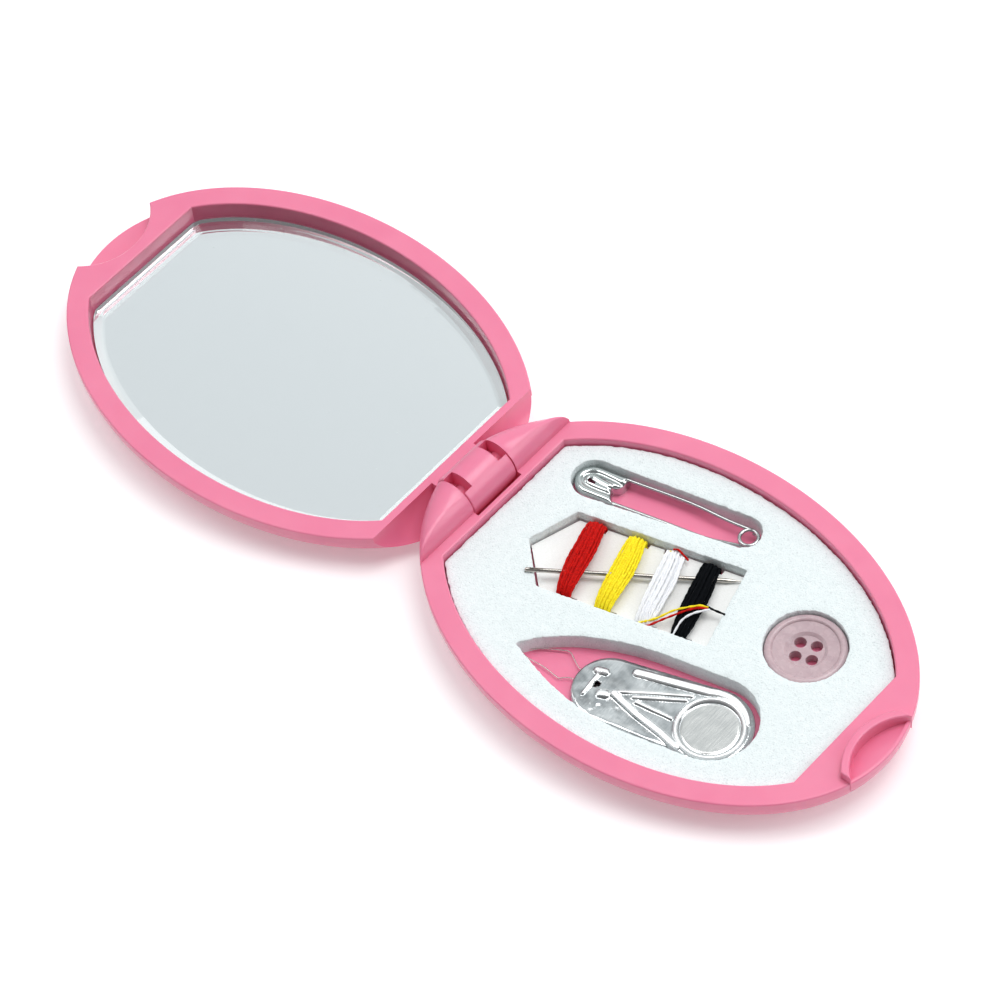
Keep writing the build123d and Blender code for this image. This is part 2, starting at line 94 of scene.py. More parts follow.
# Camera, aimed at a point in the rim plane beside the hinge
CAMERA_AZIMUTH = radians(48.219)
CAMERA_ELEVATION = radians(53.815)
CAMERA_ROLL = radians(-8.0)
CAMERA_DISTANCE = 0.62631
CAMERA_TARGET = Vector((4.865 * MM, -0.65 * MM, RIM * MM))
CAMERA_LENS = 164.86


# ---------------------------------------------------------------- camera, light and floor

def camera_axes():
    """Right, up and back directions of the camera."""
    level = cos(CAMERA_ELEVATION)
    back = Vector((sin(CAMERA_AZIMUTH) * level, -cos(CAMERA_AZIMUTH) * level, sin(CAMERA_ELEVATION)))
    flat_right = Vector((0, 0, 1)).cross(back).normalized()
    flat_up = back.cross(flat_right)
    right = cos(CAMERA_ROLL) * flat_right + sin(CAMERA_ROLL) * flat_up
    return right, back.cross(right), back


def add_camera():
    right, up, back = camera_axes()
    data = bpy.data.cameras.new("camera")
    data.lens = CAMERA_LENS
    data.sensor_width = 36
    data.clip_start = 0.05
    camera = bpy.data.objects.new("camera", data)
    bpy.context.scene.collection.objects.link(camera)
    place = Matrix((right, up, back)).transposed().to_4x4()
    place.translation = CAMERA_TARGET + CAMERA_DISTANCE * back
    camera.matrix_world = place
    bpy.context.scene.camera = camera


def area_light(name, place, size, power):
    """Rectangular light that faces the compact. Place and size are in metres, power in watts."""
    data = bpy.data.lights.new(name, "AREA")
    data.shape = "RECTANGLE"
    data.size, data.size_y = size
    data.energy = power
    light = bpy.data.objects.new(name, data)
    bpy.context.scene.collection.objects.link(light)
    light.location = place
    light.rotation_euler = Vector(place).to_track_quat("Z", "Y").to_euler()


def add_studio():
    """Bright backdrop that fades towards the camera's side, and soft boxes overhead."""
    world = bpy.data.worlds.new("studio")
    bpy.context.scene.world = world
    world.use_nodes = True
    tree = world.node_tree
    background = tree.nodes["Background"]
    where = tree.nodes.new("ShaderNodeTexCoord")
    towards = tree.nodes.new("ShaderNodeVectorMath")
    towards.operation = "DOT_PRODUCT"
    towards.inputs[1].default_value = Vector((-0.45, 0.75, 0.48)).normalized()
    ramp = tree.nodes.new("ShaderNodeValToRGB")
    tree.links.new(where.outputs["Generated"], towards.inputs[0])
    tree.links.new(towards.outputs["Value"], ramp.inputs["Fac"])
    tree.links.new(ramp.outputs["Color"], background.inputs["Color"])
    elements = ramp.color_ramp.elements
    elements[0].position, elements[0].color = 0.0, (0.20, 0.205, 0.21, 1)
    elements[1].position, elements[1].color = 1.0, (0.98, 1.0, 1.0, 1)
    between = {0.45: (0.36, 0.37, 0.38, 1), 0.78: (0.60, 0.63, 0.64, 1), 0.885: (0.76, 0.81, 0.83, 1),
               0.95: (0.95, 0.99, 1.0, 1)}
    for place, colour in between.items():
        elements.new(place).color = colour
    background.inputs["Strength"].default_value = 1.0
    area_light("overhead", (0.14, 0.28, 0.95), (0.6, 0.5), 4.7)
    area_light("over_lid", (-0.38, -0.14, 0.92), (0.44, 0.44), 1.9)
    area_light("left", (-0.75, -0.35, 0.5), (0.5, 0.4), 0.9)
    area_light("right", (0.6, 0.35, 0.45), (0.35, 0.5), 1.6)
    bpy.context.scene.view_settings.view_transform = "Standard"


def add_floor():
    """White floor a hair under the shells, so that their flat undersides don't share its plane."""
    mesh = bpy.data.meshes.new("floor")
    half = 3.0
    level = cad_box[0][2] - 0.01 * MM
    corners = [(-half, -half, level), (half, -half, level), (half, half, level), (-half, half, level)]
    mesh.from_pydata(corners, [], [(0, 1, 2, 3)])
    white = principled("floor_white", (0.84, 0.84, 0.84), 0.55, Emission_Strength=0.24)
    white.node_tree.nodes["Principled BSDF"].inputs["Emission Color"].default_value = (1, 1, 1, 1)
    mesh.materials.append(white)
    floor = bpy.data.objects.new("floor", mesh)
    bpy.context.scene.collection.objects.link(floor)


# ---------------------------------------------------------------- materials

def principled(name, colour, roughness, **values):
    """Principled material. Further sockets are given by name, with _ for a space."""
    material = bpy.data.materials.new(name)
    material.use_nodes = True
    shader = material.node_tree.nodes["Principled BSDF"]
    shader.inputs["Base Color"].default_value = (*colour, 1)
    shader.inputs["Roughness"].default_value = roughness
    for socket, value in values.items():
        shader.inputs[socket.replace("_", " ")].default_value = value
    return material


def object_coords(tree, scale=(1, 1, 1)):
    """Object coordinates, multiplied by a scale on each axis."""
    where = tree.nodes.new("ShaderNodeTexCoord")
    mapping = tree.nodes.new("ShaderNodeMapping")
    mapping.inputs["Scale"].default_value = scale
    tree.links.new(where.outputs["Object"], mapping.inputs["Vector"])
    return mapping.outputs["Vector"]


def noise_texture(tree, size_mm, detail=3, scale=(1, 1, 1)):
    """Noise whose lumps are about size_mm across."""
    texture = tree.nodes.new("ShaderNodeTexNoise")
    texture.inputs["Scale"].default_value = 1 / (size_mm * MM)
    texture.inputs["Detail"].default_value = detail
    tree.links.new(object_coords(tree, scale), texture.inputs["Vector"])
    return texture.outputs["Fac"]


def spread(tree, value, low, high, start=0.3, end=0.7):
    """Value stretched so that its run from start to end becomes low to high, and held there."""
    ranged = tree.nodes.new("ShaderNodeMapRange")
    ranged.inputs["From Min"].default_value = start
    ranged.inputs["From Max"].default_value = end
    ranged.inputs["To Min"].default_value = low
    ranged.inputs["To Max"].default_value = high
    tree.links.new(value, ranged.inputs["Value"])
    return ranged.outputs["Result"]


def mix_colours(tree, factor, first, second):
    """First where the factor is 0, second where it is 1. Each is a colour or a node's output."""
    mix = tree.nodes.new("ShaderNodeMix")
    mix.data_type = "RGBA"
    tree.links.new(factor, mix.inputs["Factor"])
    for socket, colour in ((mix.inputs[6], first), (mix.inputs[7], second)):
        if isinstance(colour, tuple):
            socket.default_value = (*colour, 1)
        else:
            tree.links.new(colour, socket)
    return mix.outputs[2]


def add_bump(material, height, depth_mm):
    """Bump from a height texture, laid on top of those added before."""
    tree = material.node_tree
    shader = tree.nodes["Principled BSDF"]
    bump = tree.nodes.new("ShaderNodeBump")
    bump.inputs["Distance"].default_value = depth_mm * MM
    bump.inputs["Strength"].default_value = 1.0
    tree.links.new(height, bump.inputs["Height"])
    if shader.inputs["Normal"].links:
        tree.links.new(shader.inputs["Normal"].links[0].from_socket, bump.inputs["Normal"])
    tree.links.new(bump.outputs["Normal"], shader.inputs["Normal"])


def set_socket(material, name, output):
    tree = material.node_tree
    tree.links.new(output, tree.nodes["Principled BSDF"].inputs[name])


def pink_plastic():
    """Injection-moulded satin plastic with a faint flow mottle, fine handling marks and a faint painted red glow.
    """
    material = principled("pink_plastic", (0.84, 0.215, 0.36), 0.34, Subsurface_Weight=0.12, Coat_Weight=0.40,
                          Coat_Roughness=0.28, Specular_IOR_Level=0.45, Emission_Strength=0.03)
    shader = material.node_tree.nodes["Principled BSDF"]
    # Painted glow: this faint red emission, with Emission_Strength above, deepens the red of the shaded walls as
    # though they were lit from inside.
    shader.inputs["Emission Color"].default_value = (1.0, 0.03, 0.08, 1)
    shader.inputs["Subsurface Radius"].default_value = (0.9, 0.2, 0.3)
    shader.inputs["Subsurface Scale"].default_value = 0.8 * MM
    tree = material.node_tree
    mottle = spread(tree, noise_texture(tree, 7.0, 2), 0, 1)
    set_socket(material, "Base Color", mix_colours(tree, mottle, (0.765, 0.188, 0.32), (0.79, 0.212, 0.343)))
    set_socket(material, "Roughness", spread(tree, noise_texture(tree, 2.2, 4), 0.28, 0.38))
    add_bump(material, noise_texture(tree, 1.6, 3), 0.010)
    add_bump(material, noise_texture(tree, 0.12, 2), 0.0012)
    return material


def white_foam():
    """Matt closed-cell foam: fine pores over a faintly cloudy white."""
    material = principled("white_foam", (0.84, 0.87, 0.88), 0.95, Specular_IOR_Level=0.1)
    tree = material.node_tree
    cells = tree.nodes.new("ShaderNodeTexVoronoi")
    cells.feature = "SMOOTH_F1"
    cells.inputs["Scale"].default_value = 1 / (0.26 * MM)
    cells.inputs["Smoothness"].default_value = 0.4
    tree.links.new(object_coords(tree), cells.inputs["Vector"])
    pores = noise_texture(tree, 0.20, 2)
    cloud = spread(tree, noise_texture(tree, 0.6, 5), 0, 1)
    clean = mix_colours(tree, cloud, (0.755, 0.822, 0.825), (0.815, 0.874, 0.878))
    deep = spread(tree, pores, 0, 1, 0.60, 0.72)
    set_socket(material, "Base Color", mix_colours(tree, deep, clean, (0.60, 0.65, 0.66)))
    add_bump(material, cells.outputs["Distance"], 0.05)
    add_bump(material, pores, 0.06)
    return material


def metal(name, colour, rough, smear, scratch, grain=(1, 1, 1)):
    """Bright sheet or wire: roughness drifts from place to place and fine scratches run along the grain."""
    material = principled(name, colour, rough, Metallic=1.0)
    tree = material.node_tree
    set_socket(material, "Roughness", spread(tree, noise_texture(tree, 1.3, 4), rough, rough + smear))
    add_bump(material, noise_texture(tree, 0.16, 4, grain), scratch)
    return material


def along_item(tree, item, start, end):
    """0 at one u of an item's frame, rising to 1 at another."""
    (x, y), turn = item
    towards = Vector((cos(radians(turn)), sin(radians(turn)), 0))
    where = tree.nodes.new("ShaderNodeTexCoord")
    dot = tree.nodes.new("ShaderNodeVectorMath")
    dot.operation = "DOT_PRODUCT"
    dot.inputs[1].default_value = towards
    tree.links.new(where.outputs["Object"], dot.inputs[0])
    centre = towards.dot(Vector((x, y, 0)))
    return spread(tree, dot.outputs["Value"], 0, 1, (centre + start) * MM, (centre + end) * MM)


def pressed_foil():
    """Thin bright foil: painted near-white highlight on its raised bars, and darker in noisy patches towards its
    free end.
    """
    material = principled("pressed_foil", (0.66, 0.68, 0.68), 0.10, Metallic=1.0)
    tree = material.node_tree
    add_bump(material, noise_texture(tree, 0.16, 4, (0.35, 1, 1)), 0.0012)
    # Darker grey in noisy patches, growing towards the free end
    dark_patch_noise = spread(tree, noise_texture(tree, 2.4, 4), 0, 1, 0.40, 0.68)
    darker_towards_end = tree.nodes.new("ShaderNodeMath")
    darker_towards_end.operation = "MULTIPLY"
    tree.links.new(dark_patch_noise, darker_towards_end.inputs[0])
    tree.links.new(along_item(tree, THREADER, 0.0, -9.0), darker_towards_end.inputs[1])
    streaks = spread(tree, noise_texture(tree, 0.14, 3, (1, 0.10, 1)), 0, 1)
    bright = mix_colours(tree, streaks, (0.62, 0.64, 0.65), (0.78, 0.80, 0.80))
    flat = mix_colours(tree, darker_towards_end.outputs["Value"], bright, (0.33, 0.35, 0.36))
    height = tree.nodes.new("ShaderNodeSeparateXYZ")
    tree.links.new(object_coords(tree), height.inputs["Vector"])
    level = FRONT_TOP - FOIL_RELIEF
    raised = spread(tree, height.outputs["Z"], 0, 1, (level + 0.10) * MM, (level + 0.24) * MM)
    # Painted highlight: the raised bars are coloured near-white to stand in for the light they catch; they are
    # also rougher.
    set_socket(material, "Base Color", mix_colours(tree, raised, flat, (0.96, 0.97, 0.97)))
    rough = spread(tree, noise_texture(tree, 1.3, 4), 0.10, 0.20)
    set_socket(material, "Roughness", mix_colours(tree, raised, rough, (0.42, 0.42, 0.42)))
    return material


def dull_foil():
    """Matt face of the threader's medallion, finely sanded."""
    material = metal("dull_foil", (0.62, 0.63, 0.62), 0.20, 0.06, 0.0015, (1, 0.12, 1))
    tree = material.node_tree
    brushed = spread(tree, noise_texture(tree, 0.22, 4, (1, 0.08, 1)), 0, 1)
    set_socket(material, "Base Color", mix_colours(tree, brushed, (0.60, 0.605, 0.595), (0.72, 0.72, 0.705)))
    return material


def thread_look(name, dark, light, gloss=0.2):
    """Spun fibre: tone changes between plies, with a soft sheen."""
    material = principled(name, light, 0.8, Specular_IOR_Level=gloss)
    tree = material.node_tree
    tone = spread(tree, noise_texture(tree, 0.22, 3), 0, 1)
    set_socket(material, "Base Color", mix_colours(tree, tone, dark, light))
    add_bump(material, noise_texture(tree, 0.07, 2), 0.02)
    return material


def white_card():
    """Uncoated card with a fibrous face."""
    material = principled("white_card", (0.90, 0.90, 0.88), 0.85, Specular_IOR_Level=0.2)
    tree = material.node_tree
    fibres = noise_texture(tree, 0.35, 6, (1, 3, 1))
    shade = mix_colours(tree, spread(tree, fibres, 0, 1), (0.84, 0.84, 0.82), (0.93, 0.93, 0.92))
    set_socket(material, "Base Color", shade)
    add_bump(material, fibres, 0.03)
    return material


def pearl_button():
    """Milky translucent resin that takes on the pink beneath it, with a faint swirl."""
    material = principled("pearl_button", (0.56, 0.42, 0.45), 0.24, Subsurface_Weight=0.25, Coat_Weight=0.15)
    shader = material.node_tree.nodes["Principled BSDF"]
    shader.inputs["Subsurface Radius"].default_value = (1.0, 0.7, 0.7)
    shader.inputs["Subsurface Scale"].default_value = 1.0 * MM
    tree = material.node_tree
    swirl = spread(tree, noise_texture(tree, 3.0, 3, (1, 2.5, 1)), 0, 1)
    set_socket(material, "Base Color", mix_colours(tree, swirl, (0.46, 0.335, 0.365), (0.54, 0.405, 0.43)))
    set_socket(material, "Roughness", spread(tree, noise_texture(tree, 0.8, 3), 0.18, 0.34))
    return material


def mirror_silver():
    """Silvering: even, with tiny bright specks of dust."""
    material = principled("mirror_silver", (0.90, 0.91, 0.92), 0.012, Metallic=1.0)
    tree = material.node_tree
    dust = spread(tree, noise_texture(tree, 0.5, 1), 0, 1, 0.80, 0.82)
    set_socket(material, "Base Color", mix_colours(tree, dust, (0.90, 0.91, 0.92), (0.80, 0.84, 0.88)))
    set_socket(material, "Roughness", spread(tree, dust, 0.012, 0.4, 0, 1))
    return material


def mirror_pane():
    """Clear float glass over the silvering."""
    return principled("mirror_pane", (0.995, 1.0, 0.998), 0.0, Transmission_Weight=1.0, IOR=1.5)


LOOKS = {
    "pink_plastic": pink_plastic(),
    "mirror_glass": mirror_silver(),
    "mirror_pane": mirror_pane(),
    "adhesive_film": principled("adhesive_film", (0.88, 0.72, 0.74), 0.5),
    "white_foam": white_foam(),
    "steel_wire": metal("steel_wire", (0.52, 0.53, 0.53), 0.10, 0.10, 0.0008, (0.1, 1, 1)),
    "pin_cap_steel": metal("pin_cap_steel", (0.58, 0.62, 0.61), 0.08, 0.08, 0.0015),
    "needle_steel": metal("needle_steel", (0.50, 0.47, 0.43), 0.14, 0.10, 0.0008, (0.1, 1, 1)),
    "white_card": white_card(),
    "red_thread": thread_look("red_thread", (0.34, 0.001, 0.001), (0.72, 0.006, 0.002)),
    "yellow_thread": thread_look("yellow_thread", (0.86, 0.62, 0.010), (1.0, 0.92, 0.03)),
    "white_thread": thread_look("white_thread", (0.80, 0.82, 0.86), (0.95, 0.95, 0.96)),
    "black_thread": thread_look("black_thread", (0.001, 0.0015, 0.002), (0.003, 0.004, 0.006), 0.08),
    "pearl_button": pearl_button(),
    "pressed_foil": pressed_foil(),
    "dull_foil": dull_foil(),
    "fine_wire": metal("fine_wire", (0.62, 0.55, 0.52), 0.2, 0.1, 0.002),
}


# ---------------------------------------------------------------- mesh tools

def to_row(points, item):
    """Points of an item's frame in millimetres, turned into the row frame in metres."""
    (x, y), turn = item
    c, s = cos(radians(turn)), sin(radians(turn))
    points = np.asarray(points, float)
    out = np.empty_like(points)
    out[:, 0] = x + c * points[:, 0] - s * points[:, 1]
    out[:, 1] = y + s * points[:, 0] + c * points[:, 1]
    out[:, 2] = points[:, 2]
    return out * MM


def add_piece(name, parts, item, slot, body, stands_for=(), looks=None, sharp=40):
    """One object from several (points, faces) parts, riding on a CAD body."""
    points, faces, start = [], [], 0
    for part_points, part_faces in parts:
        points.append(np.asarray(part_points, float))
        faces += [tuple(int(i) + start for i in face) for face in part_faces]
        start += len(part_points)
    mesh = bpy.data.meshes.new(name)
    mesh.from_pydata(to_row(np.vstack(points), item).tolist(), [], faces)
    for look in looks or (slot,):
        mesh.materials.append(LOOKS[look])
    mesh.shade_smooth()
    mesh.set_sharp_from_angle(angle=radians(sharp))
    piece = bpy.data.objects.new(name, mesh)
    bpy.context.scene.collection.objects.link(piece)
    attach(piece, body)
    if stands_for:
        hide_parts(*stands_for)
    return piece


def resampled(points, step, closed=False):
    """The same line with points about step apart."""
    points = np.asarray(points, float)
    if closed:
        points = np.vstack((points, points[:1]))
    lengths = np.r_[0, np.cumsum(np.linalg.norm(np.diff(points, axis=0), axis=1))]
    count = max(2, int(ceil(lengths[-1] / step)))
    at = np.linspace(0, lengths[-1], count + 1)
    if closed:
        at = at[:-1]
    return np.column_stack([np.interp(at, lengths, points[:, k]) for k in range(points.shape[1])])


def smooth_line(points, step):
    """Catmull-Rom curve through a few points."""
    points = [np.asarray(p, float) for p in points]
    ends = [2 * points[0] - points[1]] + points + [2 * points[-1] - points[-2]]
    line = []
    for a, b, c, d in zip(ends, ends[1:], ends[2:], ends[3:]):
        for t in np.linspace(0, 1, 12, endpoint=False):
            line.append(0.5 * (2 * b + (c - a) * t + (2 * a - 5 * b + 4 * c - d) * t * t
                               + (3 * b - a - 3 * c + d) * t ** 3))
    line.append(points[-1])
    return resampled(line, step)


def tube(points, radius, sides=8, up=(0, 0, 1), closed=False, ply=0.0, pitch=1.0, taper=None):
    """Tube along a line. ply swells it into two twisted strands with the given pitch."""
    points = np.asarray(points, float)
    if closed:
        along = np.roll(points, -1, axis=0) - np.roll(points, 1, axis=0)
    else:
        along = np.gradient(points, axis=0)
    along /= np.linalg.norm(along, axis=1)[:, None]
    side = np.cross(along, up)
    side /= np.linalg.norm(side, axis=1)[:, None]
    top = np.cross(side, along)
    travel = np.r_[0, np.cumsum(np.linalg.norm(np.diff(points, axis=0), axis=1))]
    turns = travel / pitch
    if closed:
        turns *= max(1, round(turns[-1])) / (turns[-1] * (len(points) / (len(points) - 1)))
    angles = 2 * pi * np.arange(sides) / sides
    swell = 1 + ply * np.cos(2 * (angles[None, :] - pi * turns[:, None]))
    size = radius * np.ones(len(points)) if taper is None else radius * np.asarray(taper)
    across, upwards = np.cos(angles)[None, :, None], np.sin(angles)[None, :, None]
    ring = across * side[:, None, :] + upwards * top[:, None, :]
    body = points[:, None, :] + (size[:, None] * swell)[:, :, None] * ring
    count = len(points)
    faces = []
    for i in range(count if closed else count - 1):
        j = (i + 1) % count
        for k in range(sides):
            m = (k + 1) % sides
            faces.append((i * sides + k, i * sides + m, j * sides + m, j * sides + k))
    if not closed:
        faces.append(tuple(reversed(range(sides))))
        faces.append(tuple((count - 1) * sides + k for k in range(sides)))
    return body.reshape(-1, 3), faces


def inside(points, loops):
    """Which plan points lie inside the first loop and outside the others."""
    points = np.asarray(points, float)
    hits = np.zeros(len(points), int)
    for loop in loops:
        a, b = loop, np.roll(loop, -1, axis=0)
        for (x0, y0), (x1, y1) in zip(a, b):
            if y0 == y1:
                continue
            spans = (points[:, 1] > min(y0, y1)) & (points[:, 1] <= max(y0, y1))
            cross = x0 + (points[:, 1] - y0) * (x1 - x0) / (y1 - y0)
            hits += spans & (cross > points[:, 0])
    return hits % 2 == 1


def distance_to(points, line, closed=False):
    """Distance from plan points to a line of straight runs."""
    points, line = np.asarray(points, float)[:, :2], np.asarray(line, float)
    if closed:
        line = np.vstack((line, line[:1]))
    best = np.full(len(points), 1e9)
    for a, b in zip(line, line[1:]):
        run = b - a
        t = np.clip(((points - a) @ run) / max(run @ run, 1e-12), 0, 1)
        best = np.minimum(best, np.linalg.norm(points - a - t[:, None] * run, axis=1))
    return best


def distance_from(points, centre):
    """Distance from plan points to one centre."""
    return np.linalg.norm(points[:, :2] - np.asarray(centre), axis=1)


def offset_loop(loop, amount):
    """Loop moved to its left by an amount, or by a column of them."""
    along = np.roll(loop, -1, axis=0) - np.roll(loop, 1, axis=0)
    along /= np.maximum(np.linalg.norm(along, axis=1), 1e-9)[:, None]
    return loop + amount * np.column_stack((-along[:, 1], along[:, 0]))


def signed_area(loop):
    """Area of a loop, positive when it runs anticlockwise."""
    x, y = loop[:, 0], loop[:, 1]
    return 0.5 * float(np.sum(x * np.roll(y, -1) - y * np.roll(x, -1)))


def oriented(loops):
    """The same loops with the outline running anticlockwise and every hole clockwise."""
    return [loop if (signed_area(loop) > 0) == (k == 0) else loop[::-1] for k, loop in enumerate(loops)]


def filled(loops, step):
    """Triangles that fill the first loop less the others, with inner points about step apart."""
    low, high = loops[0].min(0), loops[0].max(0)
    columns, rows = int((high[0] - low[0]) / step), int((high[1] - low[1]) / step)
    grid = []
    for i in range(columns + 1):
        for j in range(rows + 1):
            grid.append((low[0] + (i + 0.5 * (j % 2)) * step, low[1] + j * step))
    grid = np.array(grid)
    grid = grid[inside(grid, loops)]
    near = np.min([distance_to(grid, loop, True) for loop in loops], axis=0)
    grid = grid[near > 0.5 * step]
    points, edges = [], []
    for loop in loops:
        start = len(points)
        points += [tuple(p) for p in loop]
        edges += [(start + i, start + (i + 1) % len(loop)) for i in range(len(loop))]
    points += [tuple(p) for p in grid]
    mesh = geometry.delaunay_2d_cdt([Vector(p) for p in points], edges, [], 0, 1e-7)
    flat, faces, source = mesh[0], mesh[2], mesh[3]
    flat = np.array([tuple(p) for p in flat])
    faces = [f for f in faces if len(f) == 3]
    middles = np.array([flat[list(f)].mean(0) for f in faces])
    faces = [f for f, keep in zip(faces, inside(middles, loops)) if keep]
    index = np.zeros(len(points), int)
    for new, olds in enumerate(source):
        for old in olds:
            index[old] = new
    used = np.unique([i for f in faces for i in f] + list(index))
    order = -np.ones(len(flat), int)
    order[used] = np.arange(len(used))
    return flat[used], [tuple(order[list(f)]) for f in faces], order[index]


def relief(loops, step, top, bottom, edge=0.0, rings=1, rough=0.0):
    """Closed solid between two height functions over an outline with holes.

    The top edge is rounded by edge, and the walls, in rings steps, are roughened by rough.
    """
    loops = oriented(loops)
    upper_loops = [offset_loop(loop, edge) for loop in loops] if edge else loops
    upper, upper_faces, upper_index = filled(upper_loops, step)
    lower, lower_faces, lower_index = filled(loops, max(step, 1.0))
    points = [np.column_stack((upper, top(upper)))]
    faces = list(upper_faces)
    start = len(upper)
    points.append(np.column_stack((lower, bottom(lower))))
    faces += [tuple(start + i for i in reversed(f)) for f in lower_faces]
    base = start + len(lower)
    at = 0
    for loop, upper_loop in zip(loops, upper_loops):
        count = len(loop)
        high, low = top(upper_loop), bottom(loop)
        previous = upper_index[at:at + count]
        # Rings of the rounded edge: how far down and how far in, as shares of edge
        rounding = [(0.3, 0.75), (1.0, 0.0)] if edge else []
        steps = [(high - drop * edge, back * edge) for drop, back in rounding]
        steps += [(high - edge + (low - high + edge) * (k + 1) / (rings + 1), 0.0) for k in range(rings)]
        for z, back in steps:
            ring = offset_loop(loop, back * 0.4)
            if rough:
                shift = [rough * noise.noise(Vector((x, y, h)) * 2.5) for (x, y), h in zip(ring, z)]
                ring = offset_loop(ring, np.array(shift)[:, None])
            points.append(np.column_stack((ring, z)))
            current = base + np.arange(count)
            base += count
            faces += wall(previous, current)
            previous = current
        faces += wall(previous, start + lower_index[at:at + count])
        at += count
    return np.vstack(points), faces


def sheet_solid(loops, step, top, bottom):
    """Thin closed sheet: the same triangles above and below, joined at the edges."""
    loops = oriented(loops)
    flat, faces, index = filled(loops, step)
    points = np.vstack((np.column_stack((flat, top(flat))), np.column_stack((flat, bottom(flat)))))
    count = len(flat)
    every = list(faces) + [tuple(count + i for i in reversed(f)) for f in faces]
    at = 0
    for loop in loops:
        ring = index[at:at + len(loop)]
        every += wall(ring, ring + count)
        at += len(loop)
    return points, every


def wall(upper, lower):
    """Quads between two rings of the same count."""
    count = len(upper)
    return [(upper[i], lower[i], lower[(i + 1) % count], upper[(i + 1) % count]) for i in range(count)]


def ridge(points, line, width, height):
    """Height of a round-topped rib that follows a line."""
    near = distance_to(points, line)
    return height * np.clip(1 - (near / width) ** 2, 0, 1) ** 0.75


def bar(points, line, width, height):
    """Height of a flat-topped pressed bar along a line."""
    return height * (1 - fade(distance_to(points, line), 0.55 * width, width))


def rolled_edge(near, width, drop):
    """Height of an edge that curves down by drop over a width, from the distance to the outline."""
    return -drop * (1 - np.sqrt(np.clip(1 - (1 - np.clip(near, 0, width) / width) ** 2, 0, 1)))


def fade(value, start, end):
    """0 at the start, rising smoothly to 1 at the end."""
    t = np.clip((value - start) / (end - start), 0, 1)
    return t * t * (3 - 2 * t)


def lumps(points, size, seed=0.0):
    """Smooth noise from about -1 to 1."""
    return np.array([noise.noise(Vector((x / size, y / size, seed))) for x, y in points[:, :2]])


def arc_points(centre, radius, start, end, count=24):
    """Points of an arc between two angles in degrees."""
    angles = np.radians(np.linspace(start, end, count))
    return np.column_stack((centre[0] + radius * np.cos(angles), centre[1] + radius * np.sin(angles)))


SAME_LEVEL = 0.002
SHORTEST_LOOP = 8


def top_loops(node, level):
    """Outlines, longest first, of a CAD node's flat face at a height, in row millimetres."""
    mesh = nodes[node].data
    here = {i for i, v in enumerate(mesh.vertices) if abs(v.co.z / MM - level) < SAME_LEVEL}
    place = {i: (round(mesh.vertices[i].co.x / MM, 4), round(mesh.vertices[i].co.y / MM, 4)) for i in here}
    sides = {}
    for face in mesh.polygons:
        ring = list(face.vertices)
        if all(i in here for i in ring):
            for a, b in zip(ring, ring[1:] + ring[:1]):
                a, b = place[a], place[b]
                if (b, a) in sides:
                    del sides[(b, a)]
                elif a != b:
                    sides[(a, b)] = True
    following = {a: b for a, b in sides}
    loops = []
    while following:
        at = next(iter(following))
        loop = []
        while at in following:
            loop.append(at)
            at = following.pop(at)
        loops.append(np.array(loop))
    return sorted((x for x in loops if len(x) > SHORTEST_LOOP), key=lambda x: -abs(signed_area(x)))


# ---------------------------------------------------------------- foam insert

FOAM_STEP = 0.28
FOAM_EDGE = 0.10
WALL_ROUGHNESS = 0.10
OUTER_NICKS, POCKET_NICKS = 0.10, 0.05


def ragged(loop, amount):
    """Outline as a knife leaves it in foam: small waves and nicks."""
    loop = resampled(loop, FOAM_STEP, closed=True)
    shift = amount * (lumps(loop, 1.1) + 0.6 * lumps(loop, 0.4, 3.0))
    return offset_loop(loop, shift[:, None])


def foam_insert():
    """Die-cut insert: its outline and the four pockets come from the CAD node's top face."""
    outline, *pockets = top_loops("foam_insert", FOAM_TOP)
    loops = [ragged(outline, OUTER_NICKS)] + [ragged(pocket, POCKET_NICKS) for pocket in pockets]

    def top(points):
        return FOAM_TOP + 0.03 * lumps(points, 4.0) + 0.012 * lumps(points, 0.8, 5.0)

    def bottom(points):
        return np.full(len(points), FOAM_BOTTOM)

    solid = relief(loops, 0.8, top, bottom, FOAM_EDGE, 4, WALL_ROUGHNESS)
    foam = add_piece("foam_tray", [solid], ROW, "white_foam", "base", ("foam_insert",), sharp=60)


# ---------------------------------------------------------------- mirror

# Width and depth of the bevel, thickness of the silvered plate, the gap that keeps the pane off it, and how
# far the glass reaches past the adhesive under it
BEVEL = 1.4
BEVEL_DROP = 0.30
SILVER = 0.3
PANE_GAP = 0.004
PAST_ADHESIVE = 1.65


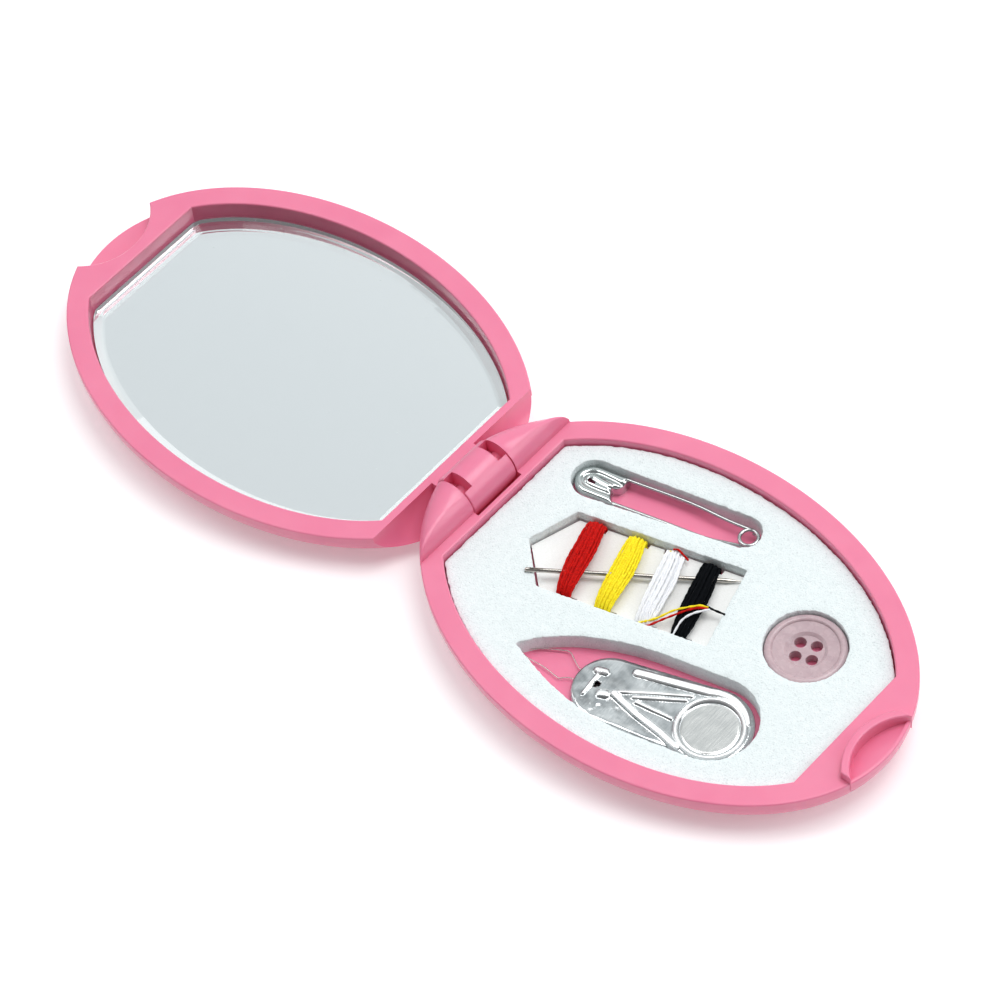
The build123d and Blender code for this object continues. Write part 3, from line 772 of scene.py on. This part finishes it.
def mirror():
    """Silvered plate with a clear bevelled pane on it."""
    loop = top_loops("mirror_adhesive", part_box("mirror_adhesive")[1].z / MM)[0]
    loop = resampled(loop if signed_area(loop) > 0 else loop[::-1], 0.5, closed=True)
    outer = offset_loop(loop, -PAST_ADHESIVE)
    inner = offset_loop(loop, BEVEL - PAST_ADHESIVE)
    middle = loop.mean(0)

    def plate(rings):
        """Solid through (loop, height) rings from the bottom up, closed by a fan at each end."""
        points, faces = [], []
        for k, (ring, z) in enumerate(rings):
            points.append(np.column_stack((ring, np.full(len(ring), z))))
            if k:
                count = len(ring)
                faces += wall(np.arange(count) + k * count, np.arange(count) + (k - 1) * count)
        count = len(rings[0][0])
        total = len(rings) * count
        points.append([(*middle, rings[0][1]), (*middle, rings[-1][1])])
        faces += [((i + 1) % count, i, total) for i in range(count)]
        last = total - count
        faces += [(last + i, last + (i + 1) % count, total + 1) for i in range(count)]
        return np.vstack(points), faces

    level = MIRROR_BOTTOM + SILVER
    silver = plate([(outer, MIRROR_BOTTOM), (outer, level)])
    pane = plate([(outer, level + PANE_GAP), (outer, MIRROR_TOP - BEVEL_DROP), (inner, MIRROR_TOP)])
    add_piece("mirror_silvering", [silver], ROW, "mirror_glass", "lid", ("mirror_glass",), sharp=20)
    add_piece("mirror_pane", [pane], ROW, "mirror_glass", "lid", looks=("mirror_pane",), sharp=5)


# ---------------------------------------------------------------- thread windings

STRAND_R = 0.185
STRAND_PITCH = 1.3
TURN_POINTS = 72
# Place in the stack, number of turns and share of the width, from the layer against the card outwards
LAYERS = ((1, 8, 0.82), (0, 9, 0.90), (-0.6, 3, 0.55))
LAYER_ABOVE, LAYER_BELOW, LAYER_BESIDE = 0.26, 0.1, 0.16
CROWN = 0.45
# Middle and width, along u, of the far end, the waist and the near end, then the height of the arch
WINDINGS = {
    "red": ((-9.6, 2.5), (-9.2, 3.55), (-9.0, 2.3), 2.1),
    "yellow": ((-3.6, 2.6), (-3.05, 3.75), (-3.2, 2.6), 1.7),
    "white": ((2.1, 2.7), (2.75, 3.8), (2.8, 2.9), 1.4),
    "black": ((7.45, 2.6), (7.9, 3.6), (7.95, 2.4), 1.3),
}
# Half the wrap across the card, and how far the turns hang below it
HALF_WRAP = 6.25
UNDER = 0.42

# Trimmed ends of the threads, across the card or over its edge
TAILS = {
    "red": [[(2.3, -6.6, 4.3), (3.6, -6.5, 4.6), (5.6, -4.7, 5.1), (7.6, -2.8, 5.4), (9.0, -1.7, 5.4),
             (10.2, -1.15, 5.2)],
            [(1.7, 6.2, 4.7), (2.4, 6.25, 4.9), (3.2, 5.95, 4.7), (4.2, 5.55, 4.3)]],
    "yellow": [[(2.2, -6.45, 4.4), (4.3, -5.15, 4.9), (6.1, -3.3, 5.3), (8.0, -2.0, 5.5), (9.2, -1.2, 5.4),
                (10.2, -1.0, 5.2)],
               [(1.1, 5.9, 4.3), (1.7, 5.85, 4.5), (2.3, 5.6, 4.2)]],
    "white": [[(7.4, -6.7, 4.5), (7.8, -4.3, 5.3), (8.9, -2.7, 5.5), (10.5, -1.2, 5.2)]],
    "black": [[(9.4, -0.6, 5.0), (10.6, -0.95, 5.1), (12.7, -1.15, 5.2)]],
}


def turn_of_thread(across, colour, layer, wander):
    """One closed turn round the card. across runs from -1 to 1 over the winding's width."""
    far, waist, near, arch = WINDINGS[colour]
    middle = (CARD_TOP + CARD_BOTTOM) / 2
    rise = CARD_TOP + arch - middle - CROWN * across ** 2 + 0.12 - LAYER_ABOVE * layer
    drop = middle - CARD_BOTTOM + UNDER - LAYER_BELOW * layer
    half = HALF_WRAP - LAYER_BESIDE * layer
    drift = random.uniform(-0.12, 0.12)
    points = []
    for k in range(TURN_POINTS):
        angle = 2 * pi * k / TURN_POINTS
        c, s = cos(angle), sin(angle)
        t = abs(c) ** 0.62 * (1 if c > 0 else -1)
        z = middle + (rise if s > 0 else -drop) * abs(s) ** 0.55
        end = far if t > 0 else near
        share = abs(t) ** 1.8
        width = waist[1] + (end[1] - waist[1]) * share
        centre = waist[0] + (end[0] - waist[0]) * share
        sway = 0.09 * noise.noise(Vector((wander, half * t * 0.45, 0.3)))
        points.append((centre + 0.5 * width * across + sway + drift * t, half * t, z))
    return resampled(points, 0.16, closed=True)


def winding(colour):
    """All the turns of one thread, from the layer against the card outwards, with its trimmed ends."""
    parts = []
    for layer, count, reach in LAYERS:
        for k in range(count):
            across = reach * (2 * (k + 0.5) / count - 1) + random.uniform(-0.05, 0.05)
            line = turn_of_thread(across, colour, layer, random.uniform(0, 50))
            parts.append(tube(line, STRAND_R, 8, (1, 0, 0), True, 0.17, STRAND_PITCH))
    for tail in TAILS[colour]:
        line = smooth_line(tail, 0.12)
        parts.append(tube(line, 0.8 * STRAND_R, 8, (0, 0, 1), False, 0.2, STRAND_PITCH))
    add_piece(f"winding_{colour}", parts, CARD, f"{colour}_thread", "thread_card", (f"thread_{colour}",),
              sharp=180)


# ---------------------------------------------------------------- safety pin

WIRE_R = 0.27
COIL = (11.8, 0.2)
COIL_R = 1.3
CAP_LEFT, CAP_RIGHT, CAP_MIDDLE, CAP_HALF = -12.0, -7.45, -0.4, 2.5
COIL_POINTS = 24
BELOW_CAP_TOP = 0.23
BETWEEN_TURNS = 0.04
COIL_HIGH = CAP_TOP - WIRE_R - BELOW_CAP_TOP
COIL_LOW = COIL_HIGH - 2 * WIRE_R - BETWEEN_TURNS


def coil_point(angle, level):
    return COIL[0] + COIL_R * sin(angle), COIL[1] + COIL_R * cos(angle), level


def pin_wires():
    """Back wire with the coil's upper turn, and the arm that leaves the lower turn and ends in the point."""
    top = CAP_MIDDLE + CAP_HALF - 0.42
    ring = [coil_point(2 * pi * k / COIL_POINTS, COIL_HIGH) for k in range(COIL_POINTS)]
    back = [(CAP_LEFT, top, COIL_HIGH), (-6, top + 0.12, COIL_HIGH), (2, top + 0.3, COIL_HIGH),
            (8, COIL[1] + COIL_R + 0.06, COIL_HIGH)]
    low = CAP_MIDDLE - CAP_HALF + 0.53
    start = [coil_point(angle, COIL_LOW) for angle in np.linspace(0, pi + 0.2, 16)]
    arm = start + [(9.0, -1.55, COIL_LOW), (6.0, -2.05, COIL_LOW), (-1, low + 0.22, COIL_LOW),
                   (CAP_LEFT + 2, low, COIL_LOW), (CAP_LEFT + 0.6, low, COIL_LOW)]
    arm_line = smooth_line(arm, 0.18)
    left = np.linalg.norm(arm_line[-1] - arm_line, axis=1)
    taper = 0.12 + 0.88 * fade(left, 0, 3.5)
    wire = tube(smooth_line(back + ring + ring[:1], 0.18), WIRE_R, 14)
    point = tube(arm_line, WIRE_R, 14, taper=taper)
    add_piece("pin_back", [wire], PIN, "steel_wire", "safety_pin", ("pin_back_wire",), sharp=60)
    add_piece("pin_point", [point], PIN, "steel_wire", "pin_arm", ("pin_arm",), sharp=60)


def cap_outline():
    """Round end round the wire's bend, and a concave cusp towards the coil."""
    top, bottom = CAP_MIDDLE + CAP_HALF, CAP_MIDDLE - CAP_HALF
    round_end = arc_points((CAP_LEFT, CAP_MIDDLE), CAP_HALF, 90, 270)
    cusp = smooth_line([(CAP_RIGHT, bottom), (CAP_RIGHT - 0.85, bottom + 1.05),
                        (CAP_RIGHT - 1.35, bottom + 2.3), (CAP_RIGHT - 0.45, bottom + 2.9),
                        (CAP_RIGHT - 0.02, top - 1.0)], 0.15)
    return resampled(np.vstack(([(CAP_RIGHT, top)], round_end, cusp)), 0.12, closed=True)


def pin_cap():
    """Pressed cap: domed, with a rolled rim, a hollow that sweeps round the slot, and the slot itself."""
    outline = cap_outline()
    hollow = smooth_line([(-8.1, 0.55), (-10.2, 0.75), (-11.9, 0.75), (-13.0, 0.2), (-13.3, -0.6),
                          (-12.6, -1.45), (-10.7, -1.65), (-8.8, -1.6)], 0.1)
    tongue = smooth_line([(-9.2, -0.35), (-10.7, -0.2), (-11.8, 0.05), (-12.5, -0.2)], 0.1)
    slot = resampled(np.vstack((arc_points((-11.5, -0.85), 0.22, -90, 90, 8),
                                arc_points((-12.2, -0.75), 0.32, 90, 270, 8))), 0.1, closed=True)

    def top(points):
        roll = rolled_edge(distance_to(points, outline, True), 0.7, 0.55)
        dip = -0.24 * np.exp(-(distance_to(points, hollow) / 0.30) ** 2)
        return CAP_TOP - 0.10 + roll + dip + ridge(points, tongue, 0.40, 0.16)

    def bottom(points):
        return np.full(len(points), CAP_BOTTOM)

    solid = relief([outline, slot], 0.13, top, bottom, 0.0, 2)
    add_piece("pin_head", [solid], PIN, "pin_cap_steel", "safety_pin", ("pin_cap",), sharp=60)


# ---------------------------------------------------------------- needle threader

# Round ends of the plates, each (u, v, radius)
LEFT_END = (-14.9, 0.3, 5.25)
RIGHT_END = (-0.1, 1.1, 5.95)
MEDALLION = (0.2, 0.4)
MEDALLION_R = 4.05
FOIL = 0.16
BACK_SHEET = 0.3
THREADER_WIRE_R = 0.08
WIRE_ABOVE_BACK = 0.12


def hull_outline(left, right, step):
    """Outline round two circles, each (u, v, radius)."""
    run = hypot(right[0] - left[0], right[1] - left[1])
    heading = atan2(right[1] - left[1], right[0] - left[0]) * 180 / pi
    open_by = 90 + np.degrees(np.arcsin((left[2] - right[2]) / run))
    left_arc = arc_points(left, left[2], heading + open_by, heading + 360 - open_by, 60)
    right_arc = arc_points(right, right[2], heading - open_by, heading + open_by, 60)
    return resampled(np.vstack((left_arc, right_arc)), step, closed=True)


def foil_height(points, outline):
    """Pressed pattern of the threader's face, in millimetres above its flat level."""
    u, v = points[:, 0], points[:, 1]
    near = distance_to(points, outline, True)
    out = distance_from(points, MEDALLION)
    rib_arc = arc_points((-0.4, 0.9), 5.05, 112, 28, 20)
    upper_rib = np.vstack(([(-12.6, 4.1), (-8.0, 4.75), (-4.6, 5.25)], rib_arc))
    lower_leg = np.array([(-13.9, -0.15), (-9.9, -1.7), (-5.4, -3.05), (-2.6, -4.1)])
    upper_leg = np.array([(-13.8, 0.25), (-9.6, 1.95), (-4.3, 4.0)])
    inner_bars = (np.array([(-11.3, 0.45), (-4.7, 3.05)]), np.array([(-10.6, -0.1), (-5.2, -0.35)]))

    height = rolled_edge(near, 0.9, 0.60)
    loose = fade(-u, 5.0, 11.0) * fade(near, 0.2, 1.4)
    height += loose * (0.20 * lumps(points, 4.2, 1.0) + 0.035 * lumps(points, 1.5, 4.0))
    below = fade(-v - 0.30 * (u + 14), 0.6, 2.0) * fade(out, 5.3, 6.5) * fade(near, 0.15, 1.2)
    height += below * (0.06 * lumps(points, 1.3, 9.0) + 0.02 * lumps(points, 0.6, 2.0) - 0.10)
    raised = [bar(points, upper_rib, 0.72, 0.38), bar(points, lower_leg, 0.58, 0.40),
              ridge(points, upper_leg, 0.30, 0.22)]
    raised += [ridge(points, line, 0.30, 0.26) for line in inner_bars]
    for pressed in raised:
        height = np.maximum(height, pressed + np.minimum(height, 0.04))
    crest = 0.42 * np.exp(-((out - MEDALLION_R - 0.55) / 0.32) ** 2)
    moat = -0.14 * np.exp(-((out - MEDALLION_R - 0.02) / 0.20) ** 2)
    height = np.where(out < MEDALLION_R + 1.3, np.maximum(height * fade(out, 4.6, 5.3), crest), height)
    height = np.where(out < MEDALLION_R + 0.25, 0.04 + crest + moat, height)
    hook = np.array([(-17.65, 2.25), (-16.5, 2.4)])
    stem = np.array([(-17.2, 1.9), (-17.45, 0.6), (-17.7, -1.9)])
    blob = np.array([(-15.6, -0.9), (-14.9, -0.7)])
    clip = ridge(points, hook, 0.55, 0.42) + ridge(points, stem, 0.26, 0.30)
    return height + (clip + ridge(points, blob, 0.7, 0.25))


def threader_front():
    """Stamped foil: turned-down rim, raised bars, a flat medallion, and a crumpled end with a small clip."""
    outline = hull_outline(LEFT_END, RIGHT_END, 0.2)
    window = resampled([(-17.15, -0.35), (-16.25, -0.25), (-16.2, 0.75), (-17.05, 0.75)], 0.2, closed=True)
    base = FRONT_TOP - FOIL_RELIEF

    def top(points):
        return base + foil_height(points, outline)

    def bottom(points):
        return base + foil_height(points, outline) - FOIL

    solid = sheet_solid([outline, window], 0.15, top, bottom)
    piece = add_piece("threader_foil", [solid], THREADER, "pressed_foil", "needle_threader",
                      ("threader_front",), looks=("pressed_foil", "dull_foil"), sharp=180)
    centre = to_row([(*MEDALLION, 0)], THREADER)[0]
    for face in piece.data.polygons:
        if hypot(face.center.x - centre[0], face.center.y - centre[1]) < (MEDALLION_R - 0.1) * MM:
            face.material_index = 1


def threader_back():
    """Plain plate folded behind the front one."""
    outline = hull_outline(LEFT_END, RIGHT_END, 0.4)

    def top(points):
        return BACK_TOP + 0.02 * lumps(points, 3.0)

    def bottom(points):
        return np.full(len(points), BACK_TOP - BACK_SHEET)

    solid = relief([outline], 0.8, top, bottom, 0.06, 1)
    add_piece("threader_plate", [solid], THREADER, "pressed_foil", "needle_threader", ("threader_back",))


def threader_wire():
    """Fine wire loop, bent to a diamond, with both ends held between the plates."""
    level = BACK_TOP + WIRE_ABOVE_BACK
    corners = [(-17.0, 1.5), (-19.6, 1.7), (-20.7, 2.15), (-22.3, 3.45), (-22.75, 3.6), (-23.4, 3.5),
               (-26.2, 2.5), (-28.7, 1.0), (-27.4, 0.35), (-24.8, 0.0), (-22.3, -0.7), (-21.9, -0.7),
               (-20.5, -0.05), (-17.0, -0.2)]
    line = smooth_line([(u, v, level) for u, v in corners], 0.12)
    add_piece("threader_loop", [tube(line, THREADER_WIRE_R, 8)], THREADER, "fine_wire", "needle_threader",
              ("threader_wire",), sharp=60)


# ---------------------------------------------------------------- put together

def dress_cad_nodes():
    """Every CAD node gets the look of its material slot. Those with a piece of their own stay hidden."""
    slots = {entry["node"]: entry["material_slot"] for entry in frame["record"]["subparts"]}
    for name, node in nodes.items():
        node.data.materials.clear()
        node.data.materials.append(LOOKS[slots[name]])


add_camera()
add_studio()
add_floor()
dress_cad_nodes()
foam_insert()
mirror()
for thread in WINDINGS:
    winding(thread)
pin_wires()
pin_cap()
threader_front()
threader_back()
threader_wire()
